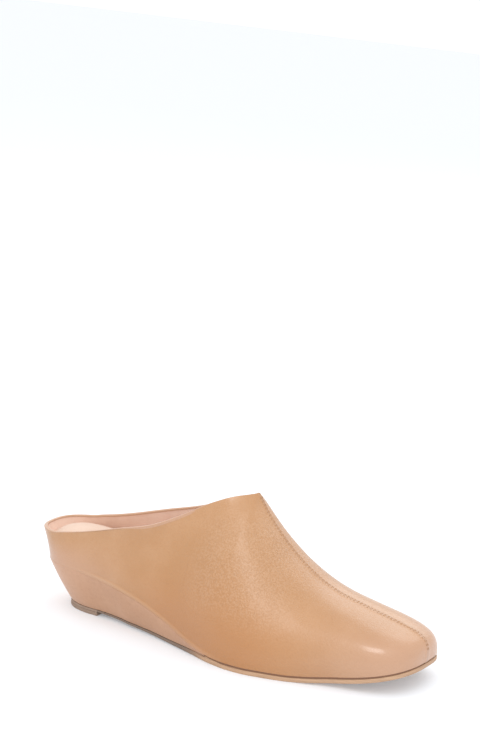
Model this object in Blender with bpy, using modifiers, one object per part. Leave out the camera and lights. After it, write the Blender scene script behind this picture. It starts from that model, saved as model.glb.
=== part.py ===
"""Wedge mule, right shoe: hollow upper, covered wedge, padded insole, outsole and heel lift.

The toe points along +X, the outer side of the foot along -Y and the floor is at Z = 0. Every piece is
lofted over ribs that stand around the feather line, where the upper meets the wedge and the sole.
"""
from collections import namedtuple
from math import cos, pi, radians, sin

import bmesh
import bpy
import numpy as np

# Driving dimensions of the shoe, in metres
LENGTH = 0.2530
BALL_WIDTH = 0.0868
SEAT_WIDTH = 0.0569
LIFT_WIDTH = 0.0432
COLLAR_WIDTH = 0.0474
WEDGE_HEIGHT = 0.0283
COLLAR_HEIGHT = 0.0438
INSTEP_HEIGHT = 0.0882
THROAT_REACH = 0.1390
TOE_SPRING = 0.0110
TOE_SWING = 0.0020
SEAM_SWING = 0.0050
INNER_COLLAR_DROP = 0.0036

# Wall, sole and lift
WALL = 0.0018
SOLE_THICKNESS = 0.0034
WAIST_THICKNESS = 0.0013
LIFT_LENGTH = 0.0280
LIFT_STEP = 0.0024
WEDGE_FRONT_THICKNESS = 0.0009
SEAM_RISE = 0.0005
SEAM_FADE = 0.0200
CLEARANCE = 0.0003

# How far the back of the seat and of the lift stand forward of the collar
SEAT_SETBACK = 0.0070
LIFT_SETBACK = 0.0212

# Roundness of the ends: lengths of the end arcs and their superellipse powers
HEEL_ARC = 0.0302
LIFT_ARC = 0.0280
TOE_ARC = 0.0380
THROAT_ARC = 0.0540
HEEL_POWER = 2.4
LIFT_POWER = 2.4
TOE_POWER = 2.6
INNER_TOE_POWER = 3.3
THROAT_POWER = 1.5

# Flat tread of the forefoot and the rise of the toe in front of it, as shares of the length
TREAD_BACK = 0.560
TREAD_FRONT = 0.740
SPRING_POWER = 1.65
WAIST_POWER = 1.4
WEDGE_FRONT = 0.545

# Powers of the inner collar's drop towards the throat and of the ribs' spacing along the seam
DROP_POWER = 6.0
SPACING_POWER = 1.15

# Share of the seam's swing that it has at the heel, and how far apart two places are for a slope
SEAM_START = 0.4
SLOPE_STEP = 0.002
NORMAL_STEP = 0.0006

# Ribs: how far forward of the collar their feet stand at the throat, and where the fan of toe ribs
# starts on the feather line and runs on the seam, as shares of the length
SIDE_FOOT_LEAD = 0.0150
THROAT_FOOT_LEAD = 0.0060
FAN_FOOT = 0.855
FAN_TOP = 0.868
FAN_END = 0.945

# Half widths of the feather line, as shares of half the ball width, by share of the length
Feather = namedtuple("Feather", "along outer inner")
FEATHER = [
    Feather(0.150, 0.664, 0.650),
    Feather(0.250, 0.712, 0.626),
    Feather(0.400, 0.816, 0.610),
    Feather(0.500, 0.972, 0.655),
    Feather(0.550, 1.060, 0.715),
    Feather(0.600, 1.118, 0.792),
    Feather(0.640, 1.128, 0.838),
    Feather(0.690, 1.082, 0.868),
    Feather(0.740, 1.008, 0.872),
    Feather(0.780, 0.928, 0.852),
    Feather(0.860, 0.784, 0.764),
    Feather(0.920, 0.756, 0.712),
    Feather(1.000, 0.752, 0.692),
]

# Half widths of the tread under the waist, as shares of half the ball width
Tread = namedtuple("Tread", "along outer inner")
TREAD = [
    Tread(0.200, 0.496, 0.494),
    Tread(0.290, 0.584, 0.478),
    Tread(0.355, 0.666, 0.474),
    Tread(0.425, 0.792, 0.500),
    Tread(0.500, 0.936, 0.590),
    Tread(0.550, 1.046, 0.690),
    Tread(0.600, 1.118, 0.792),
]

# Height of the feather line over the forefoot's, as a share of the wedge's rise
Rise = namedtuple("Rise", "along height")
FEATHER_RISE = [
    Rise(0.000, 1.000),
    Rise(0.100, 0.968),
    Rise(0.250, 0.843),
    Rise(0.330, 0.673),
    Rise(0.400, 0.458),
    Rise(0.460, 0.245),
    Rise(0.510, 0.096),
    Rise(0.560, 0.020),
    Rise(0.600, 0.000),
]

# Height of the collar edge: share of the throat reach, share of the rise from back to throat
COLLAR_RISE = [
    Rise(0.000, 0.000),
    Rise(0.100, 0.012),
    Rise(0.170, 0.055),
    Rise(0.280, 0.140),
    Rise(0.460, 0.310),
    Rise(0.620, 0.465),
    Rise(0.740, 0.648),
    Rise(0.860, 0.868),
    Rise(0.940, 0.968),
    Rise(1.000, 1.000),
]

# Width of the collar opening as a share of its width at the heel
Opening = namedtuple("Opening", "along width")
COLLAR_PLAN = [
    Opening(0.120, 1.000),
    Opening(0.237, 1.076),
    Opening(0.336, 1.139),
    Opening(0.600, 1.139),
]

# Height of the centre seam as a share of the instep height, by share of the way from throat to toe
SEAM_FALL = [
    Rise(0.000, 1.000),
    Rise(0.040, 0.921),
    Rise(0.090, 0.834),
    Rise(0.149, 0.753),
    Rise(0.219, 0.670),
    Rise(0.307, 0.584),
    Rise(0.404, 0.510),
    Rise(0.509, 0.457),
    Rise(0.614, 0.424),
    Rise(0.711, 0.395),
    Rise(0.789, 0.373),
    Rise(0.877, 0.344),
]

# Fullness of the ribs by share of the length at their foot: lean is the outward lean at the foot,
# foot and top are the handle lengths as shares of the rib's rise and of its reach
Fullness = namedtuple("Fullness", "along lean foot top")
FULLNESS = [
    Fullness(0.000, 0.10, 0.33, 0.34),
    Fullness(0.200, 0.12, 0.33, 0.34),
    Fullness(0.400, 0.14, 0.34, 0.36),
    Fullness(0.560, 0.16, 0.38, 0.46),
    Fullness(0.680, 0.18, 0.43, 0.54),
    Fullness(0.800, 0.20, 0.58, 0.76),
    Fullness(0.900, 0.20, 0.70, 0.90),
    Fullness(1.000, 0.14, 0.66, 0.84),
]

# Padding of the insole over the feather line: edge is its height at the wall, crown the rise of its
# middle over the edge, both as shares of the wedge height
Padding = namedtuple("Padding", "along edge crown")
PADDING = [
    Padding(0.000, 0.300, 0.000),
    Padding(0.030, 0.330, 0.060),
    Padding(0.060, 0.360, 0.175),
    Padding(0.100, 0.370, 0.242),
    Padding(0.200, 0.350, 0.262),
    Padding(0.280, 0.310, 0.235),
    Padding(0.400, 0.230, 0.150),
    Padding(0.520, 0.170, 0.070),
    Padding(0.620, 0.150, 0.040),
    Padding(1.000, 0.150, 0.030),
]

# Counts of ribs around the shoe and of rows up each rib
HEEL_RIBS = 8
SIDE_RIBS = 6
THROAT_RIBS = 7
VAMP_RIBS = 11
TOE_RIBS = 8
RIB_ROWS = [0.0, 0.07, 0.15, 0.24, 0.33, 0.42, 0.51, 0.60, 0.69, 0.78, 0.86, 0.93, 0.975, 1.0]
WEDGE_RIBS = 9
SOLE_RIBS = 8
CROSS_POINTS = 5
WEDGE_ROWS = [0.0, 0.2, 0.45, 0.7, 0.9, 1.0]
EDGE_ROWS = [0.0, 0.5, 1.0]
WEDGE_BULGE = 0.0008
SPREAD = 1.6
SPREAD_REACH = 4
HEEL_LEAN = 0.52
UPRIGHT_SHARE = 0.7
MERGE = 1e-6
WALL_LEAN = 0.8
STEEPEST = -1.2
COLLAR_TURN = 1.5
OUTER = -1
INNER = 1

Finish = namedtuple("Finish", "colour roughness")
LEATHER = Finish((0.640, 0.395, 0.222), 0.38)
COVER = Finish((0.560, 0.335, 0.205), 0.42)
SOCK = Finish((0.700, 0.480, 0.350), 0.65)
SOLE = Finish((0.420, 0.255, 0.150), 0.55)
LIFT = Finish((0.140, 0.085, 0.060), 0.60)


def read(table, column, at):
    """Value of a table's column at a place along it, on a smooth curve that never overshoots its rows."""
    x = np.array([row.along for row in table])
    y = np.array([getattr(row, column) for row in table])
    step = np.diff(x)
    slope = np.diff(y) / step
    tangent = np.zeros(len(x))
    for i in range(1, len(x) - 1):
        if slope[i - 1] * slope[i] > 0:
            before = 2 * step[i] + step[i - 1]
            after = step[i] + 2 * step[i - 1]
            tangent[i] = (before + after) / (before / slope[i - 1] + after / slope[i])
    tangent[0] = slope[0]
    tangent[-1] = slope[-1]
    at = min(max(at, x[0]), x[-1])
    i = min(int(np.searchsorted(x, at, side="right")) - 1, len(x) - 2)
    t = (at - x[i]) / step[i]
    return ((1 + 2 * t) * (1 - t) ** 2 * y[i] + t * (1 - t) ** 2 * step[i] * tangent[i]
            + t * t * (3 - 2 * t) * y[i + 1] + t * t * (t - 1) * step[i] * tangent[i + 1])


def arc_width(share, power):
    """Width of a rounded end as a share of its full width; share runs from 0 at the tip to 1."""
    reach = 1 - min(max(share, 0.0), 1.0)
    return (1 - reach ** power) ** (1 / power)


def centre(x):
    """Sideways place of the shoe's own centre line, which swings inward at the toe."""
    return TOE_SWING * max(x / LENGTH, 0.0) ** 2


def seam_side(x):
    """Sideways place of the centre-front seam."""
    return SEAM_SWING * blend(SEAM_START, 1.0, x / LENGTH)


def side_name(side):
    return "outer" if side == OUTER else "inner"


def feather_side(x, side):
    """Half width of the feather line at x."""
    waist = read(FEATHER, side_name(side), x / LENGTH) * BALL_WIDTH / 2
    seat = SEAT_WIDTH / 2 * arc_width((x - SEAT_SETBACK) / HEEL_ARC, HEEL_POWER)
    share = min(max((x - SEAT_SETBACK) / HEEL_ARC, 0.0), 1.0)
    if share < 1:
        return seat
    blend = min((x - SEAT_SETBACK - HEEL_ARC) / HEEL_ARC, 1.0)
    body = SEAT_WIDTH / 2 * (1 - blend) + waist * blend
    return body * arc_width((LENGTH - x) / TOE_ARC, TOE_POWER if side == OUTER else INNER_TOE_POWER)


def feather_point(x, side):
    """Point of the feather line, where the upper is lasted over the wedge and the sole."""
    return np.array([x, centre(x) + side * feather_side(x, side), feather_height(x)])


def sole_height(x):
    """Height of the tread over the floor: waist, flat forefoot and toe spring."""
    share = x / LENGTH
    if share < TREAD_BACK:
        start = (LIFT_SETBACK + LIFT_LENGTH) / LENGTH
        t = min(max((TREAD_BACK - share) / (TREAD_BACK - start), 0.0), 1.0)
        return LIFT_STEP * t ** WAIST_POWER
    rise = max(share - TREAD_FRONT, 0.0) / (1 - TREAD_FRONT)
    return TOE_SPRING * rise ** SPRING_POWER


def feather_height(x):
    """Height of the feather line over the floor."""
    rise = read(FEATHER_RISE, "height", x / LENGTH) * (WEDGE_HEIGHT - SOLE_THICKNESS)
    spring = sole_height(x) if x / LENGTH > TREAD_FRONT else 0.0
    return SOLE_THICKNESS + rise + spring


def tread_side(x, side):
    """Half width of the tread and of the lift under the waist and heel."""
    heel = arc_width((x - LIFT_SETBACK) / LIFT_ARC, LIFT_POWER)
    lift = LIFT_WIDTH / 2
    waist = read(TREAD, side_name(side), x / LENGTH) * BALL_WIDTH / 2
    lift_end = LIFT_SETBACK + LIFT_LENGTH
    share = min(max((x - lift_end) / (TREAD[1].along * LENGTH - lift_end), 0.0), 1.0)
    if x / LENGTH >= TREAD[-1].along:
        return feather_side(x, side)
    return blend(lift * heel, waist, share)


def tread_point(x, side, height):
    return np.array([x, centre(x) + side * tread_side(x, side), height])


def sole_top(x):
    """Height of the outsole's upper face, which rises to the feather line in front of the wedge."""
    front = WEDGE_FRONT * LENGTH
    if x > front:
        return feather_height(x)
    lift_end = LIFT_SETBACK + LIFT_LENGTH
    share = min(max((x - lift_end) / (front - lift_end), 0.0), 1.0)
    front_thickness = feather_height(front) - WEDGE_FRONT_THICKNESS - CLEARANCE - sole_height(front)
    return sole_height(x) + blend(WAIST_THICKNESS, front_thickness, share ** 2)


def collar_side(x):
    """Half width of the collar opening at x."""
    body = read(COLLAR_PLAN, "width", x / LENGTH) * COLLAR_WIDTH / 2
    heel = arc_width(x / HEEL_ARC, HEEL_POWER)
    throat = arc_width((THROAT_REACH - x) / THROAT_ARC, THROAT_POWER)
    return body * heel * throat


def collar_point(x, side):
    """Point of the collar's edge."""
    height = COLLAR_HEIGHT + (INSTEP_HEIGHT - COLLAR_HEIGHT) * read(COLLAR_RISE, "height", x / THROAT_REACH)
    middle = seam_side(x) * (x / THROAT_REACH) ** 2
    if side == INNER:
        height -= INNER_COLLAR_DROP * sin(pi * (x / THROAT_REACH) ** DROP_POWER)
    return np.array([x, middle + side * collar_side(x), height])


def seam_height(x):
    way = (x - THROAT_REACH) / (LENGTH - THROAT_REACH)
    return read(SEAM_FALL, "height", way) * INSTEP_HEIGHT


def seam_point(x):
    """Point of the centre-front seam over the vamp."""
    return np.array([x, seam_side(x), seam_height(x)])


def blend(start, end, t):
    return start + (end - start) * t


def rib_places():
    """Places of the ribs as pairs: x of the foot on the feather line and x of the top."""
    places = []
    for i in range(HEEL_RIBS):
        share = 1 - cos(pi / 2 * i / HEEL_RIBS) ** (2 / HEEL_POWER)
        places.append((SEAT_SETBACK + HEEL_ARC * share, HEEL_ARC * share))
    side_start = SEAT_SETBACK + HEEL_ARC
    throat_start = THROAT_REACH - THROAT_ARC
    side_foot = throat_start + SIDE_FOOT_LEAD
    throat_foot = THROAT_REACH + THROAT_FOOT_LEAD
    for i in range(SIDE_RIBS):
        t = i / SIDE_RIBS
        places.append((blend(side_start, side_foot, t), blend(HEEL_ARC, throat_start, t)))
    for i in range(THROAT_RIBS):
        t = i / THROAT_RIBS
        places.append((blend(side_foot, throat_foot, t),
                       throat_start + THROAT_ARC * sin(pi / 2 * t)))
    for i in range(VAMP_RIBS):
        t = i / VAMP_RIBS
        places.append((blend(throat_foot, FAN_FOOT * LENGTH, t),
                       blend(THROAT_REACH, FAN_TOP * LENGTH, t ** SPACING_POWER)))
    for i in range(TOE_RIBS + 1):
        t = i / TOE_RIBS
        share = sin(pi / 2 * t) ** (2 / TOE_POWER) if t > 0 else 0.0
        fan = (1 - FAN_FOOT) * LENGTH
        places.append((LENGTH - fan * (1 - share), blend(FAN_TOP * LENGTH, FAN_END * LENGTH, t)))
    return places


def unit(vector):
    return vector / max(np.linalg.norm(vector), 1e-9)


def rib_handles(foot_x, top_x, side):
    """Foot, two handles and top of the curve that one rib follows from the feather line upward."""
    foot = feather_point(foot_x, side)
    foot[2] += CLEARANCE
    along = foot_x / LENGTH
    lean = read(FULLNESS, "lean", along)
    foot_share = read(FULLNESS, "foot", along)
    top_share = read(FULLNESS, "top", along)
    on_collar = top_x < THROAT_REACH
    top = collar_point(top_x, side) if on_collar else seam_point(top_x)
    rise = top[2] - foot[2]
    reach = foot[:2] - top[:2]
    away = unit(np.array([reach[0], reach[1], 0.0]))
    outward = outline_normal(foot_x, side)
    back = 1 - min(max((foot_x - SEAT_SETBACK) / HEEL_ARC, 0.0), 1.0)
    heel_lean = blend(lean, HEEL_LEAN, back ** 2)
    start = unit(np.array([outward[0] * heel_lean, outward[1] * heel_lean, 1.0]))
    foot_handle = foot + start * rise * foot_share
    chord = unit(foot - top)
    upright = unit(blend(chord, np.array([0.0, 0.0, -1.0]), UPRIGHT_SHARE))
    seam_x = max(top_x, THROAT_REACH)
    slope = (seam_height(seam_x + SLOPE_STEP) - seam_height(seam_x)) / SLOPE_STEP
    drop = np.array([away[0], away[1], max(slope, STEEPEST) * away[0]])
    length = np.linalg.norm(reach) * top_share
    if on_collar:
        narrow = 1.0
        if top_x > THROAT_REACH - THROAT_ARC:
            narrow = arc_width((THROAT_REACH - top_x) / THROAT_ARC, THROAT_POWER)
        tilt = pi / 2 * (1 - (1 - narrow) ** COLLAR_TURN)
        drop = unit(cos(tilt) * drop + sin(tilt) * upright)
        length = blend(length, rise * top_share, sin(tilt) ** 2)
    return np.array([foot, foot_handle, top + drop * length, top])


def rib_families(places):
    """Handles of all ribs by side, the inner two evened out between neighbours right round the shoe."""
    outer, inner = (np.array([rib_handles(foot_x, top_x, side) for foot_x, top_x in places])
                    for side in (OUTER, INNER))
    ring = np.concatenate([inner[::-1], outer[1:-1]])
    shifts = np.arange(-SPREAD_REACH, SPREAD_REACH + 1)
    weights = np.exp(-0.5 * (shifts / SPREAD) ** 2)
    weights /= weights.sum()
    ring[:, 1:3] = sum(weight * np.roll(ring[:, 1:3], shift, axis=0) for shift, weight in zip(shifts, weights))
    count = len(places)
    return {INNER: ring[:count][::-1], OUTER: np.concatenate([ring[count - 1:], ring[:1]])}


def outline_normal(x, side):
    """Outward direction of the feather line in plan."""
    low = max(x - NORMAL_STEP, SEAT_SETBACK)
    high = min(x + NORMAL_STEP, LENGTH)
    along = feather_point(high, side)[:2] - feather_point(low, side)[:2]
    if x < SEAT_SETBACK + MERGE:
        return np.array([-1.0, 0.0])
    if x > LENGTH - MERGE:
        return np.array([1.0, 0.0])
    return unit(np.array([along[1], -along[0]]) * -side)


def rib(handles, t):
    """Point of a rib at share t of its curve."""
    a, b, c, d = handles
    s = 1 - t
    return s ** 3 * a + 3 * s * s * t * b + 3 * s * t * t * c + t ** 3 * d


def inset(point, foot_x, side, depth):
    """A point moved inward in plan, square to the feather line."""
    outward = outline_normal(foot_x, side)
    return np.array([point[0] - outward[0] * depth, point[1] - outward[1] * depth, point[2]])


def rib_share_at(handles, height):
    """Share of a rib's curve at which it reaches a height over its foot."""
    low, high = 0.0, 1.0
    for _ in range(24):
        middle = (low + high) / 2
        if rib(handles, middle)[2] - handles[0][2] < height:
            low = middle
        else:
            high = middle
    return low


def across(left, right, count, height):
    """Points between two points, left out themselves, at the height that the function gives."""
    points = []
    for i in range(1, count + 1):
        t = i / (count + 1)
        point = blend(left, right, t)
        point[2] = height(point[0], t)
        points.append(point)
    return points


Section = namedtuple("Section", "left top right bottom")


def loft(name, sections, finish, capped_start=False, capped_end=False):
    """Closed body through sections of four edges: both sides run upward, top and bottom run left to right."""
    bm = bmesh.new()
    rings = []
    for section in sections:
        points = list(section.left) + list(section.top)
        points += list(reversed(section.right)) + list(reversed(section.bottom))
        rings.append([bm.verts.new(p) for p in points])
    count = len(rings[0])
    for near, far in zip(rings, rings[1:]):
        for i in range(count):
            j = (i + 1) % count
            bm.faces.new((near[i], near[j], far[j], far[i]))
    rows = len(sections[0].left)
    wide = len(sections[0].top)
    for capped, ring in ((capped_start, rings[0]), (capped_end, rings[-1])):
        if not capped:
            continue
        left = ring[:rows]
        top = ring[rows - 1:rows + wide + 1]
        right = list(reversed(ring[rows + wide:rows * 2 + wide]))
        bottom = [left[0]] + list(reversed(ring[rows * 2 + wide:])) + [right[0]]
        for i in range(wide + 1):
            face = [bottom[i], bottom[i + 1], top[i + 1], top[i]]
            if i == 0:
                face = [bottom[0], bottom[1], top[1]] + list(reversed(left[1:]))
            if i == wide:
                face = [bottom[i]] + right + [top[i]]
            bm.faces.new(face)
    bmesh.ops.remove_doubles(bm, verts=bm.verts[:], dist=MERGE)
    bmesh.ops.recalc_face_normals(bm, faces=bm.faces[:])
    if bm.calc_volume(signed=True) < 0:
        bmesh.ops.reverse_faces(bm, faces=bm.faces[:])
    return add_object(name, bm, finish)


def add_object(name, bm, finish):
    """An object of the shoe with its own material."""
    mesh = bpy.data.meshes.new(name)
    bm.to_mesh(mesh)
    bm.free()
    material = bpy.data.materials.new(name)
    material.use_nodes = True
    shader = material.node_tree.nodes["Principled BSDF"]
    shader.inputs["Base Color"].default_value = (*finish.colour, 1.0)
    shader.inputs["Roughness"].default_value = finish.roughness
    mesh.materials.append(material)
    mesh.shade_smooth()
    mesh.set_sharp_from_angle(angle=radians(40))
    made = bpy.data.objects.new(name, mesh)
    bpy.data.collections["wedge_mule"].objects.link(made)
    return made


def build_upper(places):
    """Hollow upper: one wall around the foot, open at the collar and underneath."""
    bm = bmesh.new()
    for side, family in rib_families(places).items():
        columns = []
        for (_, top_x), handles in zip(places, family):
            column = [rib(handles, t) for t in RIB_ROWS]
            if top_x >= THROAT_REACH:
                column[-1][2] += SEAM_RISE * min((FAN_END * LENGTH - top_x) / SEAM_FADE, 1.0)
            columns.append([bm.verts.new(p) for p in column])
        for near, far in zip(columns, columns[1:]):
            for j in range(len(RIB_ROWS) - 1):
                face = [near[j], far[j], far[j + 1], near[j + 1]]
                bm.faces.new(face if side == OUTER else list(reversed(face)))
    bmesh.ops.remove_doubles(bm, verts=bm.verts[:], dist=MERGE)
    upper = add_object("upper", bm, LEATHER)
    wall = upper.modifiers.new("wall", "SOLIDIFY")
    wall.thickness = WALL
    wall.offset = -1.0
    return upper


def build_wedge():
    """Wedge block between the feather line and the tread, closed by a thin front edge."""
    sections = []
    front = WEDGE_FRONT * LENGTH
    pairs = []
    for i in range(HEEL_RIBS):
        share = 1 - cos(pi / 2 * i / HEEL_RIBS) ** (2 / HEEL_POWER)
        low = 1 - cos(pi / 2 * i / HEEL_RIBS) ** (2 / LIFT_POWER)
        pairs.append((SEAT_SETBACK + HEEL_ARC * share, LIFT_SETBACK + LIFT_ARC * low))
    for i in range(WEDGE_RIBS + 1):
        t = i / WEDGE_RIBS
        pairs.append((blend(SEAT_SETBACK + HEEL_ARC, front, t), blend(LIFT_SETBACK + LIFT_ARC, front, t)))
    for top_x, low_x in pairs:
        edges = []
        for side in (OUTER, INNER):
            top = feather_point(top_x, side)
            low = tread_point(low_x, side, sole_top(low_x) + CLEARANCE)
            edge = []
            for t in WEDGE_ROWS:
                point = blend(low, top, t)
                bulge = WEDGE_BULGE * 4 * t * (1 - t) * (top[2] - low[2]) / WEDGE_HEIGHT
                edge.append(inset(point, top_x, side, -bulge))
            edges.append(edge)
        left, right = edges
        top = across(left[-1], right[-1], CROSS_POINTS, lambda x, t: feather_height(x))
        bottom = across(left[0], right[0], CROSS_POINTS, lambda x, t: sole_top(x) + CLEARANCE)
        sections.append(Section(left, top, right, bottom))
    return loft("wedge", sections, COVER, capped_end=True)


def build_insole(places):
    """Padded sock on its board, inside the upper's wall and crowned under the heel."""
    sections = []
    depth = (WALL + CLEARANCE) / WALL_LEAN
    families = rib_families(places)
    for i, (foot_x, _) in enumerate(places):
        along = foot_x / LENGTH
        edge_rise = read(PADDING, "edge", along) * WEDGE_HEIGHT
        crown = read(PADDING, "crown", along) * WEDGE_HEIGHT
        edges = []
        for side in (OUTER, INNER):
            handles = families[side][i]
            share = rib_share_at(handles, edge_rise)
            edges.append([inset(rib(handles, share * t), foot_x, side, depth) for t in EDGE_ROWS])
        left, right = edges
        for point in (left[0], right[0]):
            point[2] = feather_height(point[0]) + CLEARANCE
        edge_height = (left[-1][2] + right[-1][2]) / 2
        top = across(left[-1], right[-1], CROSS_POINTS,
                     lambda x, t: edge_height + crown * (1 - (2 * t - 1) ** 2))
        bottom = across(left[0], right[0], CROSS_POINTS, lambda x, t: feather_height(x) + CLEARANCE)
        sections.append(Section(left, top, right, bottom))
    return loft("insole", sections, SOCK)


def build_outsole():
    """Outsole from the lift to the toe, thin at the waist, with the toe spring."""
    start = LIFT_SETBACK + LIFT_LENGTH + CLEARANCE
    front = WEDGE_FRONT * LENGTH
    places = [blend(start, front, i / SOLE_RIBS) for i in range(SOLE_RIBS + 1)]
    toe_start = LENGTH - TOE_ARC
    places += [blend(front + CLEARANCE, toe_start, i / SOLE_RIBS) for i in range(SOLE_RIBS)]
    places += [toe_start + TOE_ARC * sin(pi / 2 * i / TOE_RIBS) ** (2 / TOE_POWER) for i in range(TOE_RIBS + 1)]
    sections = []
    for x in places:
        edges = []
        for side in (OUTER, INNER):
            top = tread_point(x, side, sole_top(x))
            low = tread_point(x, side, sole_height(x))
            edges.append([blend(low, top, t) for t in EDGE_ROWS])
        left, right = edges
        top = across(left[-1], right[-1], CROSS_POINTS, lambda at, t: sole_top(x))
        bottom = across(left[0], right[0], CROSS_POINTS, lambda at, t: sole_height(x))
        sections.append(Section(left, top, right, bottom))
    return loft("outsole", sections, SOLE, capped_start=True)


def build_top_piece():
    """Heel lift, flat on the floor."""
    height = LIFT_STEP + WAIST_THICKNESS
    places = []
    for i in range(HEEL_RIBS + 1):
        share = 1 - cos(pi / 2 * i / HEEL_RIBS) ** (2 / LIFT_POWER)
        places.append(LIFT_SETBACK + LIFT_LENGTH * share)
    sections = []
    for x in places:
        left = [tread_point(x, OUTER, height * t) for t in EDGE_ROWS]
        right = [tread_point(x, INNER, height * t) for t in EDGE_ROWS]
        top = across(left[-1], right[-1], CROSS_POINTS, lambda at, t: height)
        bottom = across(left[0], right[0], CROSS_POINTS, lambda at, t: 0.0)
        sections.append(Section(left, top, right, bottom))
    return loft("top_piece", sections, LIFT, capped_end=True)


def bounds(pieces):
    """Lowest and highest corner of the pieces together."""
    graph = bpy.context.evaluated_depsgraph_get()
    points = []
    for piece in pieces:
        mesh = piece.evaluated_get(graph).to_mesh()
        points += [vertex.co[:] for vertex in mesh.vertices]
    points = np.array(points)
    return points.min(axis=0), points.max(axis=0)


def main():
    for old in list(bpy.data.objects):
        bpy.data.objects.remove(old, do_unlink=True)
    collection = bpy.data.collections.new("wedge_mule")
    bpy.context.scene.collection.children.link(collection)
    places = rib_places()
    pieces = [build_upper(places), build_wedge(), build_insole(places), build_outsole(), build_top_piece()]
    low, high = bounds(pieces)
    root = bpy.data.objects.new("wedge_mule", None)
    collection.objects.link(root)
    root.location = (-(low[0] + high[0]) / 2, -(low[1] + high[1]) / 2, -low[2])
    for piece in pieces:
        piece.parent = root
    bpy.context.view_layer.update()


main()
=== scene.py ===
"""Wedge mule for the right foot, dressed with its leather, seam, lining, padded sock and sole."""

import logging
from dataclasses import dataclass, field
from enum import Enum
from math import cos, pi, radians, sin
from typing import Callable, NamedTuple

import bmesh
import bpy
import numpy as np
from bpy.types import Material, Node, NodeSocket, Object
from mathutils import Matrix, Vector
from mathutils.kdtree import KDTree

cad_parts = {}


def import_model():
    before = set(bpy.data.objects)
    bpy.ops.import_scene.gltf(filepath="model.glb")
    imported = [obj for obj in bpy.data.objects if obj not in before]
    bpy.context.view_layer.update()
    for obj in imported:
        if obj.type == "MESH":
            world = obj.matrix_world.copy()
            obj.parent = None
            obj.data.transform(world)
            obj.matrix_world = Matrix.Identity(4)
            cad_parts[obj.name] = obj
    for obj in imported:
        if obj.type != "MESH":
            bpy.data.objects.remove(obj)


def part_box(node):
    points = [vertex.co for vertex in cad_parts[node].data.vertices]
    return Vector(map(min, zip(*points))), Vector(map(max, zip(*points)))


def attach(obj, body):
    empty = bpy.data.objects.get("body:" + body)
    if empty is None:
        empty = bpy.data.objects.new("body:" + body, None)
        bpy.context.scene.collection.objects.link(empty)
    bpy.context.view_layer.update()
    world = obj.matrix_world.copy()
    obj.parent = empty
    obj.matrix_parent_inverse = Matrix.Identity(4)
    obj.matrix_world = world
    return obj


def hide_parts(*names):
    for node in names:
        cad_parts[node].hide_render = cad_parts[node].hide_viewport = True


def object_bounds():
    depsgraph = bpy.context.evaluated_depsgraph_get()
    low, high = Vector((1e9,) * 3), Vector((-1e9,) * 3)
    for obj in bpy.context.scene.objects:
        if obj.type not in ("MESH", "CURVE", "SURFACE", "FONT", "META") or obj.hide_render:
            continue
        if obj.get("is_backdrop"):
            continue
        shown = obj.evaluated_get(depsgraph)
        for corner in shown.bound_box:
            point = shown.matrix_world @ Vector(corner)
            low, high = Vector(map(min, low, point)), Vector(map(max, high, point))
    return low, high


LOG = logging.getLogger("wedge_mule")
MERGE = 1e-6
SHARP = radians(50)
BMesh = bmesh.types.BMesh
Height = Callable[[float, float], float]


class Side(Enum):
    """Side of the foot, as the sign of its place across the shoe."""

    OUTER = -1
    INNER = 1


class Span(NamedTuple):
    """Stretch over which something fades in, or out where its end lies below its start."""

    start: float
    end: float

    def step(self, value: float | np.ndarray) -> float | np.ndarray:
        """Soft step from zero at the start to one at the end."""
        t = np.clip((value - self.start) / (self.end - self.start), 0.0, 1.0)
        return t * t * (3 - 2 * t)


class PlanRow(NamedTuple):
    """Half widths of an outline at one place along the shoe."""

    along: float
    outer: float
    inner: float


class RiseRow(NamedTuple):
    """A height or width share at one place along a line."""

    along: float
    value: float


class FullRow(NamedTuple):
    """Fullness of the ribs at one place along the shoe."""

    along: float
    lean: float
    foot: float
    top: float


class PadRow(NamedTuple):
    """Padding of the sock at one place along the shoe."""

    along: float
    edge: float
    crown: float


class LightRow(NamedTuple):
    """Square soft light: its place, side, power in watts and whether it throws shadows."""

    name: str
    place: tuple[float, float, float]
    size: float
    power: float
    casts: bool


class CreaseRow(NamedTuple):
    """Soft trough or ridge of the leather: shares of the length and instep height, then its own sizes."""

    along: float
    height: float
    width: float
    length: float
    slant: float
    rise: float
    side: int


FEATHER_PLAN = tuple(PlanRow(*row) for row in (
    (0.150, 0.664, 0.650), (0.250, 0.712, 0.626), (0.400, 0.816, 0.610), (0.500, 0.972, 0.655),
    (0.550, 1.060, 0.715), (0.600, 1.118, 0.792), (0.640, 1.128, 0.838), (0.690, 1.082, 0.868),
    (0.740, 1.008, 0.872), (0.780, 0.928, 0.852), (0.860, 0.784, 0.764), (0.920, 0.756, 0.712),
    (1.000, 0.752, 0.692),
))
TREAD_PLAN = tuple(PlanRow(*row) for row in (
    (0.200, 0.496, 0.494), (0.290, 0.584, 0.478), (0.355, 0.666, 0.474), (0.425, 0.792, 0.500),
    (0.500, 0.936, 0.590), (0.550, 1.046, 0.690), (0.600, 1.118, 0.792),
))
FEATHER_RISE = tuple(RiseRow(*row) for row in (
    (0.000, 1.000), (0.100, 0.968), (0.250, 0.843), (0.330, 0.673), (0.400, 0.458),
    (0.460, 0.245), (0.510, 0.096), (0.560, 0.020), (0.600, 0.000),
))
COLLAR_RISE = tuple(RiseRow(*row) for row in (
    (0.000, 0.000), (0.100, 0.012), (0.170, 0.055), (0.280, 0.140), (0.460, 0.310),
    (0.620, 0.465), (0.740, 0.648), (0.860, 0.868), (0.940, 0.968), (1.000, 1.000),
))
COLLAR_PLAN = tuple(RiseRow(*row) for row in (
    (0.120, 1.000), (0.237, 1.076), (0.336, 1.139), (0.600, 1.139),
))
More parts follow.
